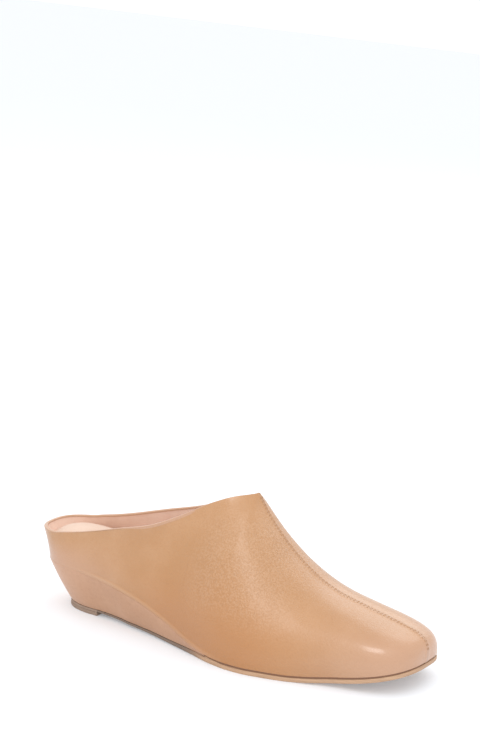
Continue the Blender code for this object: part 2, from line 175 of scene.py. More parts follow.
SEAM_FALL = tuple(RiseRow(*row) for row in (
    (0.000, 1.000), (0.040, 0.921), (0.090, 0.834), (0.149, 0.753), (0.219, 0.670),
    (0.307, 0.584), (0.404, 0.510), (0.509, 0.457), (0.614, 0.424), (0.711, 0.395),
    (0.789, 0.373), (0.877, 0.344),
))
FULLNESS = tuple(FullRow(*row) for row in (
    (0.000, 0.10, 0.33, 0.34), (0.200, 0.12, 0.33, 0.34), (0.400, 0.14, 0.34, 0.36),
    (0.560, 0.16, 0.38, 0.46), (0.680, 0.18, 0.43, 0.54), (0.800, 0.20, 0.58, 0.76),
    (0.900, 0.20, 0.70, 0.90), (1.000, 0.14, 0.66, 0.84),
))
PADDING = tuple(PadRow(*row) for row in (
    (0.000, 0.300, 0.000), (0.030, 0.330, 0.060), (0.060, 0.360, 0.175), (0.100, 0.370, 0.242),
    (0.200, 0.350, 0.262), (0.280, 0.310, 0.235), (0.400, 0.230, 0.150), (0.520, 0.170, 0.070),
    (0.620, 0.150, 0.040), (1.000, 0.150, 0.030),
))
LIGHTS = (
    LightRow("key_light", (0.37, -0.62, 1.10), 0.46, 5.0, False),
    LightRow("back_light", (0.0, 1.2, 0.9), 0.9, 3.2, True),
)
CREASES = tuple(CreaseRow(*row) for row in (
    (0.430, 0.46, 0.0130, 0.0220, 0.55, -0.00050, -1),
    (0.530, 0.62, 0.0090, 0.0260, 0.35, 0.00030, -1),
    (0.505, 0.90, 0.0080, 0.0090, 0.20, 0.00085, -1),
    (0.585, 0.50, 0.0070, 0.0200, 0.45, -0.00030, -1),
    (0.640, 0.40, 0.0080, 0.0160, 0.60, 0.00030, -1),
    (0.500, 0.52, 0.0100, 0.0240, 0.45, 0.00035, 1),
    (0.600, 0.42, 0.0090, 0.0180, 0.50, -0.00030, 1),
))


def read(table: tuple, column: str, at: float) -> float:
    """Read a column of a table on a smooth curve that never overshoots its rows.

    Args:
        table: rows with a place named along.
        column: name of the column to read.
        at: place along the table.

    Returns:
        The value there.
    """
    x = np.array([row.along for row in table])
    y = np.array([getattr(row, column) for row in table])
    step = np.diff(x)
    slope = np.diff(y) / step
    tangent = np.zeros(len(x))
    for i in range(1, len(x) - 1):
        if slope[i - 1] * slope[i] > 0:
            before = 2 * step[i] + step[i - 1]
            after = step[i] + 2 * step[i - 1]
            tangent[i] = (before + after) / (before / slope[i - 1] + after / slope[i])
    tangent[0] = slope[0]
    tangent[-1] = slope[-1]
    at = min(max(at, x[0]), x[-1])
    i = min(int(np.searchsorted(x, at, side="right")) - 1, len(x) - 2)
    t = (at - x[i]) / step[i]
    return float((1 + 2 * t) * (1 - t) ** 2 * y[i] + t * (1 - t) ** 2 * step[i] * tangent[i]
                 + t * t * (3 - 2 * t) * y[i + 1] + t * t * (t - 1) * step[i] * tangent[i + 1])


def arc_width(share: float, power: float) -> float:
    """Width of a rounded end as a share of its full width."""
    reach = 1 - held(share)
    return (1 - reach ** power) ** (1 / power)


def blend(start: float, end: float, t: float) -> float:
    """Value or point between two others."""
    return start + (end - start) * t


def unit(vector: np.ndarray) -> np.ndarray:
    """Vector of length one in the same direction."""
    return vector / max(float(np.linalg.norm(vector)), 1e-9)


def held(value: float) -> float:
    """Value held between zero and one."""
    return min(max(value, 0.0), 1.0)


def cubic(a: np.ndarray, b: np.ndarray, c: np.ndarray, d: np.ndarray, t: np.ndarray) -> np.ndarray:
    """Points of a cubic curve from a to d with the handles b and c, at the shares t."""
    s = 1 - t
    return s ** 3 * a + 3 * s * s * t * b + 3 * s * t * t * c + t ** 3 * d


@dataclass(frozen=True)
class Last:
    """Form of the shoe, in its own frame: heel back at x 0, outer side at negative y, floor at z 0."""

    length: float = 0.2530
    ball_width: float = 0.0868
    seat_width: float = 0.0569
    lift_width: float = 0.0432
    collar_width: float = 0.0474
    wedge_height: float = 0.0283
    collar_height: float = 0.0438
    instep_height: float = 0.0882
    throat_reach: float = 0.1390
    toe_spring: float = 0.0110
    toe_swing: float = 0.0020
    seam_swing: float = 0.0050
    inner_collar_drop: float = 0.0036
    wall: float = 0.0018
    sole_thickness: float = 0.0034
    waist_thickness: float = 0.0013
    lift_length: float = 0.0280
    lift_step: float = 0.0024
    front_thickness: float = 0.0009
    clearance: float = 0.0003
    seat_setback: float = 0.0070
    lift_setback: float = 0.0212
    heel_arc: float = 0.0302
    lift_arc: float = 0.0280
    toe_arc: float = 0.0380
    throat_arc: float = 0.0540
    heel_power: float = 2.4
    lift_power: float = 2.4
    toe_power: float = 2.6
    inner_toe_power: float = 3.3
    throat_power: float = 1.5
    tread_back: float = 0.560
    tread_front: float = 0.740
    spring_power: float = 1.65
    waist_power: float = 1.4
    wedge_front: float = 0.545
    side_foot_lead: float = 0.0150
    throat_foot_lead: float = 0.0060
    fan_foot: float = 0.855
    fan_top: float = 0.868
    fan_end: float = 0.945
    steepest: float = -1.2
    collar_turn: float = 1.5
    heel_lean: float = 0.52
    upright_share: float = 0.7
    drop_power: float = 6.0
    spacing_power: float = 1.15
    tip_gather: float = 1.5
    seam_start: float = 0.4
    normal_step: float = 0.0006
    slope_step: float = 0.002
    rib_counts: tuple[int, ...] = (8, 6, 7, 11, 8)
    spread: float = 1.6
    spread_reach: float = 4.0

    def centre(self, x: float) -> float:
        """Sideways place of the shoe's own centre line."""
        return self.toe_swing * max(x / self.length, 0.0) ** 2

    def seam_side(self, x: float) -> float:
        """Sideways place of the centre-front seam."""
        return self.seam_swing * blend(self.seam_start, 1.0, x / self.length)

    def feather_side(self, x: float, side: Side) -> float:
        """Half width of the feather line at x."""
        share = held((x - self.seat_setback) / self.heel_arc)
        if share < 1:
            return self.seat_width / 2 * arc_width(share, self.heel_power)
        waist = read(FEATHER_PLAN, side.name.lower(), x / self.length) * self.ball_width / 2
        way = min((x - self.seat_setback - self.heel_arc) / self.heel_arc, 1.0)
        power = self.toe_power if side is Side.OUTER else self.inner_toe_power
        return blend(self.seat_width / 2, waist, way) * arc_width((self.length - x) / self.toe_arc, power)

    def sole_height(self, x: float) -> float:
        """Height of the tread over the floor."""
        share = x / self.length
        if share < self.tread_back:
            start = (self.lift_setback + self.lift_length) / self.length
            t = held((self.tread_back - share) / (self.tread_back - start))
            return self.lift_step * t ** self.waist_power
        rise = max(share - self.tread_front, 0.0) / (1 - self.tread_front)
        return self.toe_spring * rise ** self.spring_power

    def feather_height(self, x: float) -> float:
        """Height of the feather line over the floor."""
        rise = read(FEATHER_RISE, "value", x / self.length) * (self.wedge_height - self.sole_thickness)
        spring = self.sole_height(x) if x / self.length > self.tread_front else 0.0
        return self.sole_thickness + rise + spring

    def feather_point(self, x: float, side: Side) -> np.ndarray:
        """Point of the feather line."""
        return np.array([x, self.centre(x) + side.value * self.feather_side(x, side), self.feather_height(x)])

    def tread_side(self, x: float, side: Side) -> float:
        """Half width of the tread and the lift."""
        if x / self.length >= TREAD_PLAN[-1].along:
            return self.feather_side(x, side)
        lift = self.lift_width / 2 * arc_width((x - self.lift_setback) / self.lift_arc, self.lift_power)
        waist = read(TREAD_PLAN, side.name.lower(), x / self.length) * self.ball_width / 2
        lift_end = self.lift_setback + self.lift_length
        share = held((x - lift_end) / (TREAD_PLAN[1].along * self.length - lift_end))
        return blend(lift, waist, share)

    def tread_point(self, x: float, side: Side, height: float) -> np.ndarray:
        """Point of the tread's outline at a height."""
        return np.array([x, self.centre(x) + side.value * self.tread_side(x, side), height])

    def sole_top(self, x: float) -> float:
        """Height of the outsole's upper face."""
        front = self.wedge_front * self.length
        if x > front:
            return self.feather_height(x)
        lift_end = self.lift_setback + self.lift_length
        share = held((x - lift_end) / (front - lift_end))
        cover = self.feather_height(front) - self.front_thickness - self.clearance
        thickness = cover - self.sole_height(front)
        return self.sole_height(x) + blend(self.waist_thickness, thickness, share ** 2)

    def collar_point(self, x: float, side: Side) -> np.ndarray:
        """Point of the collar's edge."""
        way = x / self.throat_reach
        height = blend(self.collar_height, self.instep_height, read(COLLAR_RISE, "value", way))
        middle = self.seam_side(x) * way ** 2
        if side is Side.INNER:
            height -= self.inner_collar_drop * sin(pi * way ** self.drop_power)
        body = read(COLLAR_PLAN, "value", x / self.length) * self.collar_width / 2
        body *= arc_width(x / self.heel_arc, self.heel_power)
        body *= arc_width((self.throat_reach - x) / self.throat_arc, self.throat_power)
        return np.array([x, middle + side.value * body, height])

    def seam_height(self, x: float) -> float:
        """Height of the centre-front seam."""
        way = (x - self.throat_reach) / (self.length - self.throat_reach)
        return read(SEAM_FALL, "value", way) * self.instep_height

    def outward(self, x: float, side: Side) -> np.ndarray:
        """Outward direction of the feather line in plan."""
        step = self.normal_step
        if x < self.seat_setback + step / 4:
            return np.array([-1.0, 0.0])
        if x > self.length - step / 4:
            return np.array([1.0, 0.0])
        low = max(x - step, self.seat_setback)
        high = min(x + step, self.length)
        along = self.feather_point(high, side)[:2] - self.feather_point(low, side)[:2]
        return unit(np.array([along[1], -along[0]]) * -side.value)

    def rib_places(self, finer: int) -> list[tuple[float, float]]:
        """Places of the ribs from the heel's back to the toe.

        Args:
            finer: how many ribs stand where the plain form has one.

        Returns:
            Pairs of x of the foot on the feather line and x of the top.
        """
        heel, sides, throat, vamp, toe = (count * finer for count in self.rib_counts)
        places = []
        for i in range(heel):
            share = 1 - cos(pi / 2 * i / heel) ** (2 / self.heel_power)
            places.append((self.seat_setback + self.heel_arc * share, self.heel_arc * share))
        side_start = self.seat_setback + self.heel_arc
        throat_start = self.throat_reach - self.throat_arc
        side_foot = throat_start + self.side_foot_lead
        throat_foot = self.throat_reach + self.throat_foot_lead
        for i in range(sides):
            t = i / sides
            places.append((blend(side_start, side_foot, t), blend(self.heel_arc, throat_start, t)))
        for i in range(throat):
            t = i / throat
            places.append((blend(side_foot, throat_foot, t),
                           throat_start + self.throat_arc * sin(pi / 2 * t)))
        for i in range(vamp):
            t = i / vamp
            places.append((blend(throat_foot, self.fan_foot * self.length, t),
                           blend(self.throat_reach, self.fan_top * self.length, t ** self.spacing_power)))
        for i in range(toe + 1):
            t = 1 - (1 - i / toe) ** self.tip_gather if finer > 1 else i / toe
            share = sin(pi / 2 * t) ** (2 / self.toe_power) if t > 0 else 0.0
            fan = (1 - self.fan_foot) * self.length
            places.append((self.length - fan * (1 - share),
                           blend(self.fan_top * self.length, self.fan_end * self.length, t)))
        return places

    def rib_handles(self, foot_x: float, top_x: float, side: Side) -> np.ndarray:
        """Foot, two handles and top of the curve that one rib follows.

        Args:
            foot_x: place of the foot on the feather line.
            top_x: place of the top on the collar or the seam.
            side: side of the shoe.

        Returns:
            The four points, one to a row.
        """
        foot = self.feather_point(foot_x, side)
        foot[2] += self.clearance
        along = foot_x / self.length
        on_collar = top_x < self.throat_reach
        if on_collar:
            top = self.collar_point(top_x, side)
        else:
            top = np.array([top_x, self.seam_side(top_x), self.seam_height(top_x)])
        rise = top[2] - foot[2]
        reach = foot[:2] - top[:2]
        away = unit(np.array([reach[0], reach[1], 0.0]))
        outward = self.outward(foot_x, side)
        back = 1 - held((foot_x - self.seat_setback) / self.heel_arc)
        lean = blend(read(FULLNESS, "lean", along), self.heel_lean, back ** 2)
        start = unit(np.array([outward[0] * lean, outward[1] * lean, 1.0]))
        foot_handle = foot + start * rise * read(FULLNESS, "foot", along)
        chord = unit(foot - top)
        upright = unit(np.array([0.0, 0.0, -self.upright_share]) + chord * (1 - self.upright_share))
        seam_x = max(top_x, self.throat_reach)
        slope = (self.seam_height(seam_x + self.slope_step) - self.seam_height(seam_x)) / self.slope_step
        drop = np.array([away[0], away[1], max(slope, self.steepest) * away[0]])
        top_share = read(FULLNESS, "top", along)
        length = float(np.linalg.norm(reach)) * top_share
        if on_collar:
            narrow = arc_width((self.throat_reach - top_x) / self.throat_arc, self.throat_power)
            if top_x <= self.throat_reach - self.throat_arc:
                narrow = 1.0
            tilt = pi / 2 * (1 - (1 - narrow) ** self.collar_turn)
            drop = unit(cos(tilt) * drop + sin(tilt) * upright)
            length = blend(length, rise * top_share, sin(tilt) ** 2)
        return np.array([foot, foot_handle, top + drop * length, top])

    def rib_ring(self, finer: int) -> np.ndarray:
        """Handles of every rib right round the shoe, evened out between neighbours.

        Args:
            finer: how many ribs stand where the plain form has one.

        Returns:
            Array of ribs by four points by three coordinates, from the inner side's toe round the heel to
            the outer side's toe; the toe's own rib stands at both ends.
        """
        outer, inner = (np.array([self.rib_handles(foot, top, side) for foot, top in self.rib_places(finer)])
                        for side in (Side.OUTER, Side.INNER))
        ring = np.concatenate([inner[::-1], outer[1:-1]])
        reach = int(self.spread_reach * finer)
        shifts = np.arange(-reach, reach + 1)
        weights = np.exp(-0.5 * (shifts / (self.spread * finer)) ** 2)
        weights /= weights.sum()
        ring[:, 1:3] = sum(weight * np.roll(ring[:, 1:3], shift, axis=0)
                           for shift, weight in zip(shifts, weights))
        return np.concatenate([ring, ring[:1]])

    def shell(self, finer: int, rows: np.ndarray) -> np.ndarray:
        """Points of the upper's outer face by rib and row, at the shares given of each rib's curve."""
        ring = self.rib_ring(finer)
        return cubic(*(ring[:, None, k] for k in range(4)), rows[None, :, None])


def sheet_normals(points: np.ndarray) -> np.ndarray:
    """Outward normals of a grid of points whose columns run from the inner toe round the heel."""
    along = np.gradient(points, axis=0)
    up = np.gradient(points, axis=1)
    normal = np.cross(along, up)
    return normal / np.maximum(np.linalg.norm(normal, axis=2, keepdims=True), 1e-12)


@dataclass(frozen=True)
class Tone:
    """Colour of a finish in linear light."""

    red: float
    green: float
    blue: float

    def rgba(self) -> tuple[float, float, float, float]:
        """Colour with full cover, as a shader socket takes it."""
        return (self.red, self.green, self.blue, 1.0)


class NodeBench:
    """Bench on which the nodes of one material are set out and joined."""

    def __init__(self, name: str) -> None:
        """Start a material of that name with its shader."""
        self.material = bpy.data.materials.new(name)
        self.material.use_nodes = True
        self.tree = self.material.node_tree
        self.shader = self.tree.nodes["Principled BSDF"]
        self.place = self.tree.nodes.new("ShaderNodeTexCoord").outputs["Object"]

    def add(self, kind: str, settings: dict | None = None, **inputs: object) -> Node:
        """Add a node.

        Args:
            kind: type of the node, without its ShaderNode prefix.
            settings: properties of the node.
            inputs: socket values, or outputs of other nodes, by socket name with _ for a space.

        Returns:
            The node.
        """
        made = self.tree.nodes.new("ShaderNode" + kind)
        for key, value in (settings or {}).items():
            setattr(made, key, value)
        for key, value in inputs.items():
            numbered = key[0] == "i" and key[1:].isdigit()
            self.join(value, made.inputs[int(key[1:]) if numbered else key.replace("_", " ")])
        return made

    def join(self, value: object, socket: NodeSocket) -> None:
        """Give a socket a value or the output of another node."""
        if isinstance(value, NodeSocket):
            self.tree.links.new(value, socket)
        else:
            socket.default_value = value

    def noise(self, scale: float, detail: float = 3.0, roughness: float = 0.5,
              place: NodeSocket | None = None) -> NodeSocket:
        """Noise over the piece, in cells to a metre, with its finer layers."""
        return self.add("TexNoise", Vector=place or self.place, Scale=scale, Detail=detail,
                        Roughness=roughness).outputs["Fac"]

    def stretched(self, x: float, y: float, z: float) -> NodeSocket:
        """Place with each axis stretched by its own factor."""
        return self.add("Mapping", Vector=self.place, Scale=(x, y, z)).outputs["Vector"]

    def attribute(self, name: str) -> NodeSocket:
        """Value that the piece's mesh holds at each vertex."""
        return self.add("Attribute", {"attribute_name": name}).outputs["Fac"]

    def ranged(self, value: NodeSocket, low: float, high: float, start: float = 0.0,
               end: float = 1.0) -> NodeSocket:
        """Value brought softly from the range low to high into start to end, and held at its ends."""
        return self.add("MapRange", {"interpolation_type": "SMOOTHSTEP"}, Value=value, From_Min=low,
                        From_Max=high, To_Min=start, To_Max=end).outputs["Result"]

    def sum(self, first: object, second: object) -> NodeSocket:
        """Sum of two values."""
        return self.add("Math", {"operation": "ADD"}, i0=first, i1=second).outputs[0]

    def product(self, first: object, second: object) -> NodeSocket:
        """Product of two values."""
        return self.add("Math", {"operation": "MULTIPLY"}, i0=first, i1=second).outputs[0]

    def mixed(self, share: object, first: object, second: object) -> NodeSocket:
        """Colour between a first and a second, each a tone or an output, by the second one's share."""
        first, second = (part.rgba() if isinstance(part, Tone) else part for part in (first, second))
        made = self.add("Mix", {"data_type": "RGBA"}, Factor=share, i6=first, i7=second)
        return made.outputs[2]

    def cells(self, scale: float) -> NodeSocket:
        """Soft cells of a pebble grain, in cells to a metre."""
        return self.add("TexVoronoi", {"feature": "SMOOTH_F1"}, Vector=self.place, Scale=scale,
                        Smoothness=0.6).outputs["Distance"]

    def laid(self, colour: NodeSocket, **tones: Tone) -> NodeSocket:
        """Colour with each tone laid on where the mesh's number of that name says."""
        for name, tone in tones.items():
            colour = self.mixed(self.attribute(name), colour, tone)
        return colour

    def bumped(self, height: NodeSocket, depth: float,
               over: NodeSocket | None = None) -> NodeSocket:
        """Normal of low relief of a depth in metres, over the normal of a coarser relief."""
        made = self.add("Bump", Strength=1.0, Distance=depth, Height=height)
        if over is not None:
            self.join(over, made.inputs["Normal"])
        return made.outputs["Normal"]

    def finish(self, colour: object, roughness: object, normal: NodeSocket | None,
               **fixed: float) -> Material:
        """Wire the shader.

        Args:
            colour: base colour.
            roughness: roughness.
            normal: normal of the relief.
            fixed: values of other sockets, by name with _ for a space.

        Returns:
            The material.
        """
        self.join(colour, self.shader.inputs["Base Color"])
        self.join(roughness, self.shader.inputs["Roughness"])
        if normal is not None:
            self.join(normal, self.shader.inputs["Normal"])
        for key, value in fixed.items():
            self.shader.inputs[key.replace("_", " ")].default_value = value
        return self.material


@dataclass(frozen=True)
class CalfLeather:
    """Smooth tan calf of the upper, satin, with a fine pebble grain and soft wrinkles over the vamp."""

    body: Tone = Tone(0.455, 0.227, 0.092)
    pale: Tone = Tone(0.505, 0.270, 0.128)
    mottle_and_shade: Tone = Tone(0.430, 0.176, 0.048)
    pink: Tone = Tone(0.520, 0.300, 0.195)
    rim: Tone = Tone(0.740, 0.500, 0.340)
    shadow: Tone = Tone(0.260, 0.120, 0.055)
    cloud_scale: float = 26.0
    grain_scale: float = 1250.0
    wrinkle_scale: float = 780.0
    mottle_scale: float = 420.0
    speckle_highlight_scale: float = 950.0
    speckle_highlight: float = 0.17
    grain_depth: float = 0.00014
    wrinkle_depth: float = 0.00062
    low_gloss: float = 0.46
    high_gloss: float = 0.34
    coat: float = 0.60
    smooth_coat: float = 0.185
    grained_coat: float = 0.400

    def material(self) -> Material:
        """Build the leather from the numbers of the piece's mesh: painted shade low over the waist, in the
        seam's groove and under the turned edge; a painted pale sheen at the heel and toe, and the turned
        edge's own pink tint; painted highlights along the feather margin, over the rolled collar edge and
        speckled over the wrinkled vamp.
        """
        bench = NodeBench("calf_leather")
        cloud = bench.noise(self.cloud_scale, 4.0, 0.55)
        colour = bench.mixed(bench.ranged(cloud, 0.35, 0.68), self.body, self.pale)
        # Painted shade: the warm tone darkens the upper low over the waist.
        low = bench.product(bench.attribute("low"), bench.ranged(bench.noise(14.0, 2.0), 0.2, 0.8, 0.75, 1.0))
        colour = bench.mixed(low, colour, self.mottle_and_shade)
        mottle = bench.noise(self.mottle_scale, 5.0, 0.65)
        colour = bench.mixed(bench.ranged(mottle, 0.35, 0.8, 0.0, 0.25), colour, self.mottle_and_shade)
        # Painted sheen: a pale pink tone low at the heel and on the toe; on the turned collar edge it is the
        # edge's own tint.
        colour = bench.laid(colour, pink=self.pink)
        wrinkled = bench.attribute("wrinkle")
        # Painted highlight: pale speckles over the wrinkled vamp.
        speckle_highlight = bench.ranged(bench.noise(self.speckle_highlight_scale, 2.0, 0.5), 0.42, 0.62, 0.0, self.speckle_highlight)
        colour = bench.mixed(bench.product(speckle_highlight, wrinkled), colour, self.rim)
        # Painted highlights along the feather margin and over the rolled collar edge; painted shade in the
        # seam's groove and under the turned edge.
        colour = bench.laid(colour, rim=self.rim, fold=self.shadow)
        grain = bench.sum(bench.cells(self.grain_scale), bench.noise(self.grain_scale * 0.55, 4.0, 0.6))
        fine = bench.noise(self.wrinkle_scale, 3.0, 0.6, bench.stretched(1.0, 1.0, 0.45))
        coarse = bench.bumped(bench.product(fine, wrinkled), self.wrinkle_depth)
        normal = bench.bumped(grain, self.grain_depth, coarse)
        gloss = bench.ranged(bench.sum(cloud, bench.product(mottle, 0.5)), 0.45, 0.95,
                             self.high_gloss, self.low_gloss)
        bench.join(bench.ranged(wrinkled, 0.0, 0.55, self.smooth_coat, self.grained_coat),
                   bench.shader.inputs["Coat Roughness"])
        return bench.finish(colour, gloss, normal, Coat_Weight=self.coat)


@dataclass(frozen=True)
class CoverLeather:
    """Leather cover of the wedge, pinker and duller than the upper."""

    body: Tone = Tone(0.490, 0.268, 0.155)
    pale: Tone = Tone(0.540, 0.310, 0.190)
    heel: Tone = Tone(0.590, 0.345, 0.225)
    dark: Tone = Tone(0.330, 0.165, 0.088)
    cloud_scale: float = 34.0
    grain_scale: float = 1150.0
    grain_depth: float = 0.00010
    mottle_scale: float = 500.0
    low_gloss: float = 0.50
    high_gloss: float = 0.36
    coat: float = 0.12
    coat_roughness: float = 0.3

    def material(self) -> Material:
        """Build the cover from the numbers of the piece's mesh: a painted pale sheen towards the heel and
        painted shade along the crease under the upper.
        """
        bench = NodeBench("cover_leather")
        cloud = bench.noise(self.cloud_scale, 4.0, 0.55)
        colour = bench.mixed(bench.ranged(cloud, 0.35, 0.7), self.body, self.pale)
        # Painted sheen: the cover turns paler towards the heel.
        colour = bench.laid(colour, heel=self.heel)
        mottle = bench.noise(self.mottle_scale, 5.0, 0.65)
        colour = bench.mixed(bench.ranged(mottle, 0.4, 0.8, 0.0, 0.22), colour, self.dark)
        # Painted shade along the crease under the upper.
        colour = bench.laid(colour, fold=self.dark)
        normal = bench.bumped(bench.sum(bench.cells(self.grain_scale), mottle), self.grain_depth)
        gloss = bench.ranged(cloud, 0.3, 0.7, self.high_gloss, self.low_gloss)
        return bench.finish(colour, gloss, normal, Coat_Weight=self.coat, Coat_Roughness=self.coat_roughness)


@dataclass(frozen=True)
class SoftLeather:
    """Matte leather inside the shoe: pinkish tan with a fine nap and, on the sock, creases of wear."""

    name: str
    body: Tone
    pale: Tone
    cloud_scale: float
    nap_scale: float
    nap_depth: float
    gloss: Span
    sheen: float
    crease_scale: float = 160.0
    crease_depth: float = 0.0

    def material(self) -> Material:
        """Build the leather."""
        bench = NodeBench(self.name)
        cloud = bench.noise(self.cloud_scale, 4.0, 0.6)
        colour = bench.mixed(bench.ranged(cloud, 0.3, 0.7), self.body, self.pale)
        nap = bench.noise(self.nap_scale, 4.0, 0.7)
        creases = None
        if self.crease_depth:
            worn = bench.noise(self.crease_scale, 3.0, 0.6, bench.stretched(0.4, 1.0, 1.0))
            creases = bench.bumped(worn, self.crease_depth)
        normal = bench.bumped(nap, self.nap_depth, creases)
        return bench.finish(colour, bench.ranged(nap, 0.3, 0.7, *self.gloss), normal,
                            Sheen_Weight=self.sheen, Sheen_Roughness=0.5)


LINING = SoftLeather("lining_leather", Tone(0.690, 0.460, 0.350), Tone(0.760, 0.540, 0.430),
                     45.0, 1500.0, 0.00008, Span(0.62, 0.78), 0.15)
SOCK = SoftLeather("sock_leather", Tone(0.700, 0.500, 0.385), Tone(0.780, 0.595, 0.480),
                   38.0, 1300.0, 0.00007, Span(0.55, 0.72), 0.1, crease_depth=0.00025)


@dataclass(frozen=True)
class SoleEdge:
    """Trimmed edge of the outsole: pale tan with fine layers, painted shade in the groove above and along the
    waist, and a brown tread.
    """

    edge: Tone = Tone(0.560, 0.350, 0.215)
    dull: Tone = Tone(0.440, 0.270, 0.165)
    groove: Tone = Tone(0.250, 0.125, 0.070)
    tread: Tone = Tone(0.220, 0.130, 0.080)
    waist: Tone = Tone(0.215, 0.150, 0.112)

    layer_scale: float = 90.0
    layer_stretch: float = 14.0
    layer_depth: float = 0.00012
    grit_scale: float = 1600.0
    grit_depth: float = 0.00008

    def material(self) -> Material:
        """Build the edge from the numbers of the piece's mesh: painted shade along the waist and in the
        groove, and the brown of the tread.
        """
        bench = NodeBench("sole_edge")
        layers = bench.noise(self.layer_scale, 4.0, 0.6, bench.stretched(1.0, 1.0, self.layer_stretch))
        colour = bench.mixed(bench.ranged(layers, 0.35, 0.7), self.edge, self.dull)
        # Painted shade along the waist and in the groove under the upper.
        colour = bench.laid(colour, waist=self.waist, tread=self.tread, groove=self.groove)
        grit = bench.noise(self.grit_scale, 4.0, 0.7)
        normal = bench.bumped(grit, self.grit_depth, bench.bumped(layers, self.layer_depth))
        return bench.finish(colour, bench.ranged(grit, 0.3, 0.7, 0.5, 0.68), normal)


@dataclass(frozen=True)
class LiftRubber:
    """Dark brown rubber of the heel lift, scuffed along its foot."""

    body: Tone = Tone(0.310, 0.215, 0.160)
    scuff: Tone = Tone(0.400, 0.295, 0.225)
    layer: Tone = Tone(0.170, 0.110, 0.080)

    rub_scale: float = 300.0
    grit_scale: float = 1700.0
    grit_depth: float = 0.00010

    def material(self) -> Material:
        """Build the rubber from the number groove of the piece's mesh."""
        bench = NodeBench("lift_rubber")
        rub = bench.noise(self.rub_scale, 5.0, 0.7, bench.stretched(1.0, 1.0, 3.0))
        colour = bench.mixed(bench.ranged(rub, 0.45, 0.8), self.body, self.scuff)
        colour = bench.laid(colour, groove=self.layer)
        grit = bench.noise(self.grit_scale, 4.0, 0.7)
        normal = bench.bumped(grit, self.grit_depth)
        return bench.finish(colour, bench.ranged(grit, 0.3, 0.7, 0.55, 0.75), normal)


@dataclass(frozen=True)
class Thread:
    """Waxed thread, a shade darker than the leather."""

    body: Tone = Tone(0.440, 0.240, 0.120)
    dark: Tone = Tone(0.330, 0.165, 0.075)
    twist_scale: float = 2600.0
    twist_depth: float = 0.00006

    def material(self) -> Material:
        """Build the thread."""
        bench = NodeBench("thread")
        twist = bench.noise(self.twist_scale, 2.0, 0.5)
        colour = bench.mixed(bench.ranged(twist, 0.35, 0.65), self.body, self.dark)
        normal = bench.bumped(twist, self.twist_depth)
        return bench.finish(colour, bench.ranged(twist, 0.3, 0.7, 0.5, 0.65), normal)


@dataclass(frozen=True)
class StudioPaper:
    """Plain pale paper of the studio floor."""

    body: Tone = Tone(0.915, 0.945, 0.985)
    tooth_scale: float = 40.0
    shine: float = 0.1

    def material(self) -> Material:
        """Build the paper."""
        bench = NodeBench("studio_paper")
        tooth = bench.noise(self.tooth_scale, 3.0, 0.5)
        gloss = bench.ranged(tooth, 0.3, 0.7, 0.88, 0.95)
        return bench.finish(self.body.rgba(), gloss, None, Specular_IOR_Level=self.shine)


def laid_grid(columns: int, rows: int,
              names: list[str]) -> tuple[BMesh, list[list[bmesh.types.BMVert]]]:
    """Flat grid to lay over a form.

    Args:
        columns: vertices one way.
        rows: vertices the other way.
        names: names of the numbers that its vertices hold.

    Returns:
        The bmesh and its vertices, by column and row.
    """
    bm = bmesh.new()
    bmesh.ops.create_grid(bm, x_segments=columns - 1, y_segments=rows - 1, size=0.5)
    for name in names:
        bm.verts.layers.float.new(name)
    bm.verts.ensure_lookup_table()
    table = [[bm.verts[0]] * rows for _ in range(columns)]
    for vert in bm.verts:
        column, row = round((vert.co.x + 0.5) * (columns - 1)), round((vert.co.y + 0.5) * (rows - 1))
        table[column][row] = vert
    return bm, table


def laid_over(points: np.ndarray, values: dict[str, np.ndarray] | None = None) -> BMesh:
    """Grid laid over a form, with its joins closed and its faces outward.

    Args:
        points: places by column and row.
        values: numbers to keep at each vertex, by name.

    Returns:
        The bmesh.
    """
    columns, rows = points.shape[:2]
    bm, table = laid_grid(columns, rows, list(values or {}))
    layers = {name: bm.verts.layers.float[name] for name in values or {}}
    for i in range(columns):
        for j in range(rows):
            vert = table[i][j]
            vert.co = points[i, j]
            for name, layer in layers.items():
                vert[layer] = float(values[name][i, j])
    bmesh.ops.remove_doubles(bm, verts=bm.verts[:], dist=MERGE)
    bmesh.ops.dissolve_degenerate(bm, edges=bm.edges[:], dist=MERGE)
    bmesh.ops.recalc_face_normals(bm, faces=bm.faces[:])
    bm.normal_update()
    return bm


def closed_body(bm: BMesh) -> BMesh:
    """Close the open ends of a body and turn its faces outward."""
    open_edges = [edge for edge in bm.edges if edge.is_boundary]
    if open_edges:
        bmesh.ops.holes_fill(bm, edges=open_edges, sides=0)
    bmesh.ops.recalc_face_normals(bm, faces=bm.faces[:])
    if bm.calc_volume(signed=True) < 0:
        bmesh.ops.reverse_faces(bm, faces=bm.faces[:])
    bm.normal_update()
    return bm


def distances(points: np.ndarray, line: np.ndarray) -> np.ndarray:
    """Distance of every place of a grid from a line of closely spaced places."""
    tree = KDTree(len(line))
    for i, place in enumerate(line):
        tree.insert(place, i)
    tree.balance()
    flat = points.reshape(-1, 3)
    return np.array([tree.find(place)[2] for place in flat]).reshape(points.shape[:2])


def resampled(line: np.ndarray, step: float) -> np.ndarray:
    """Line with its places evenly spaced at a step."""
    run = np.concatenate([[0.0], np.cumsum(np.linalg.norm(np.diff(line, axis=0), axis=1))])
    at = np.arange(0.0, run[-1], step)
    return np.array([np.interp(at, run, line[:, axis]) for axis in range(3)]).T


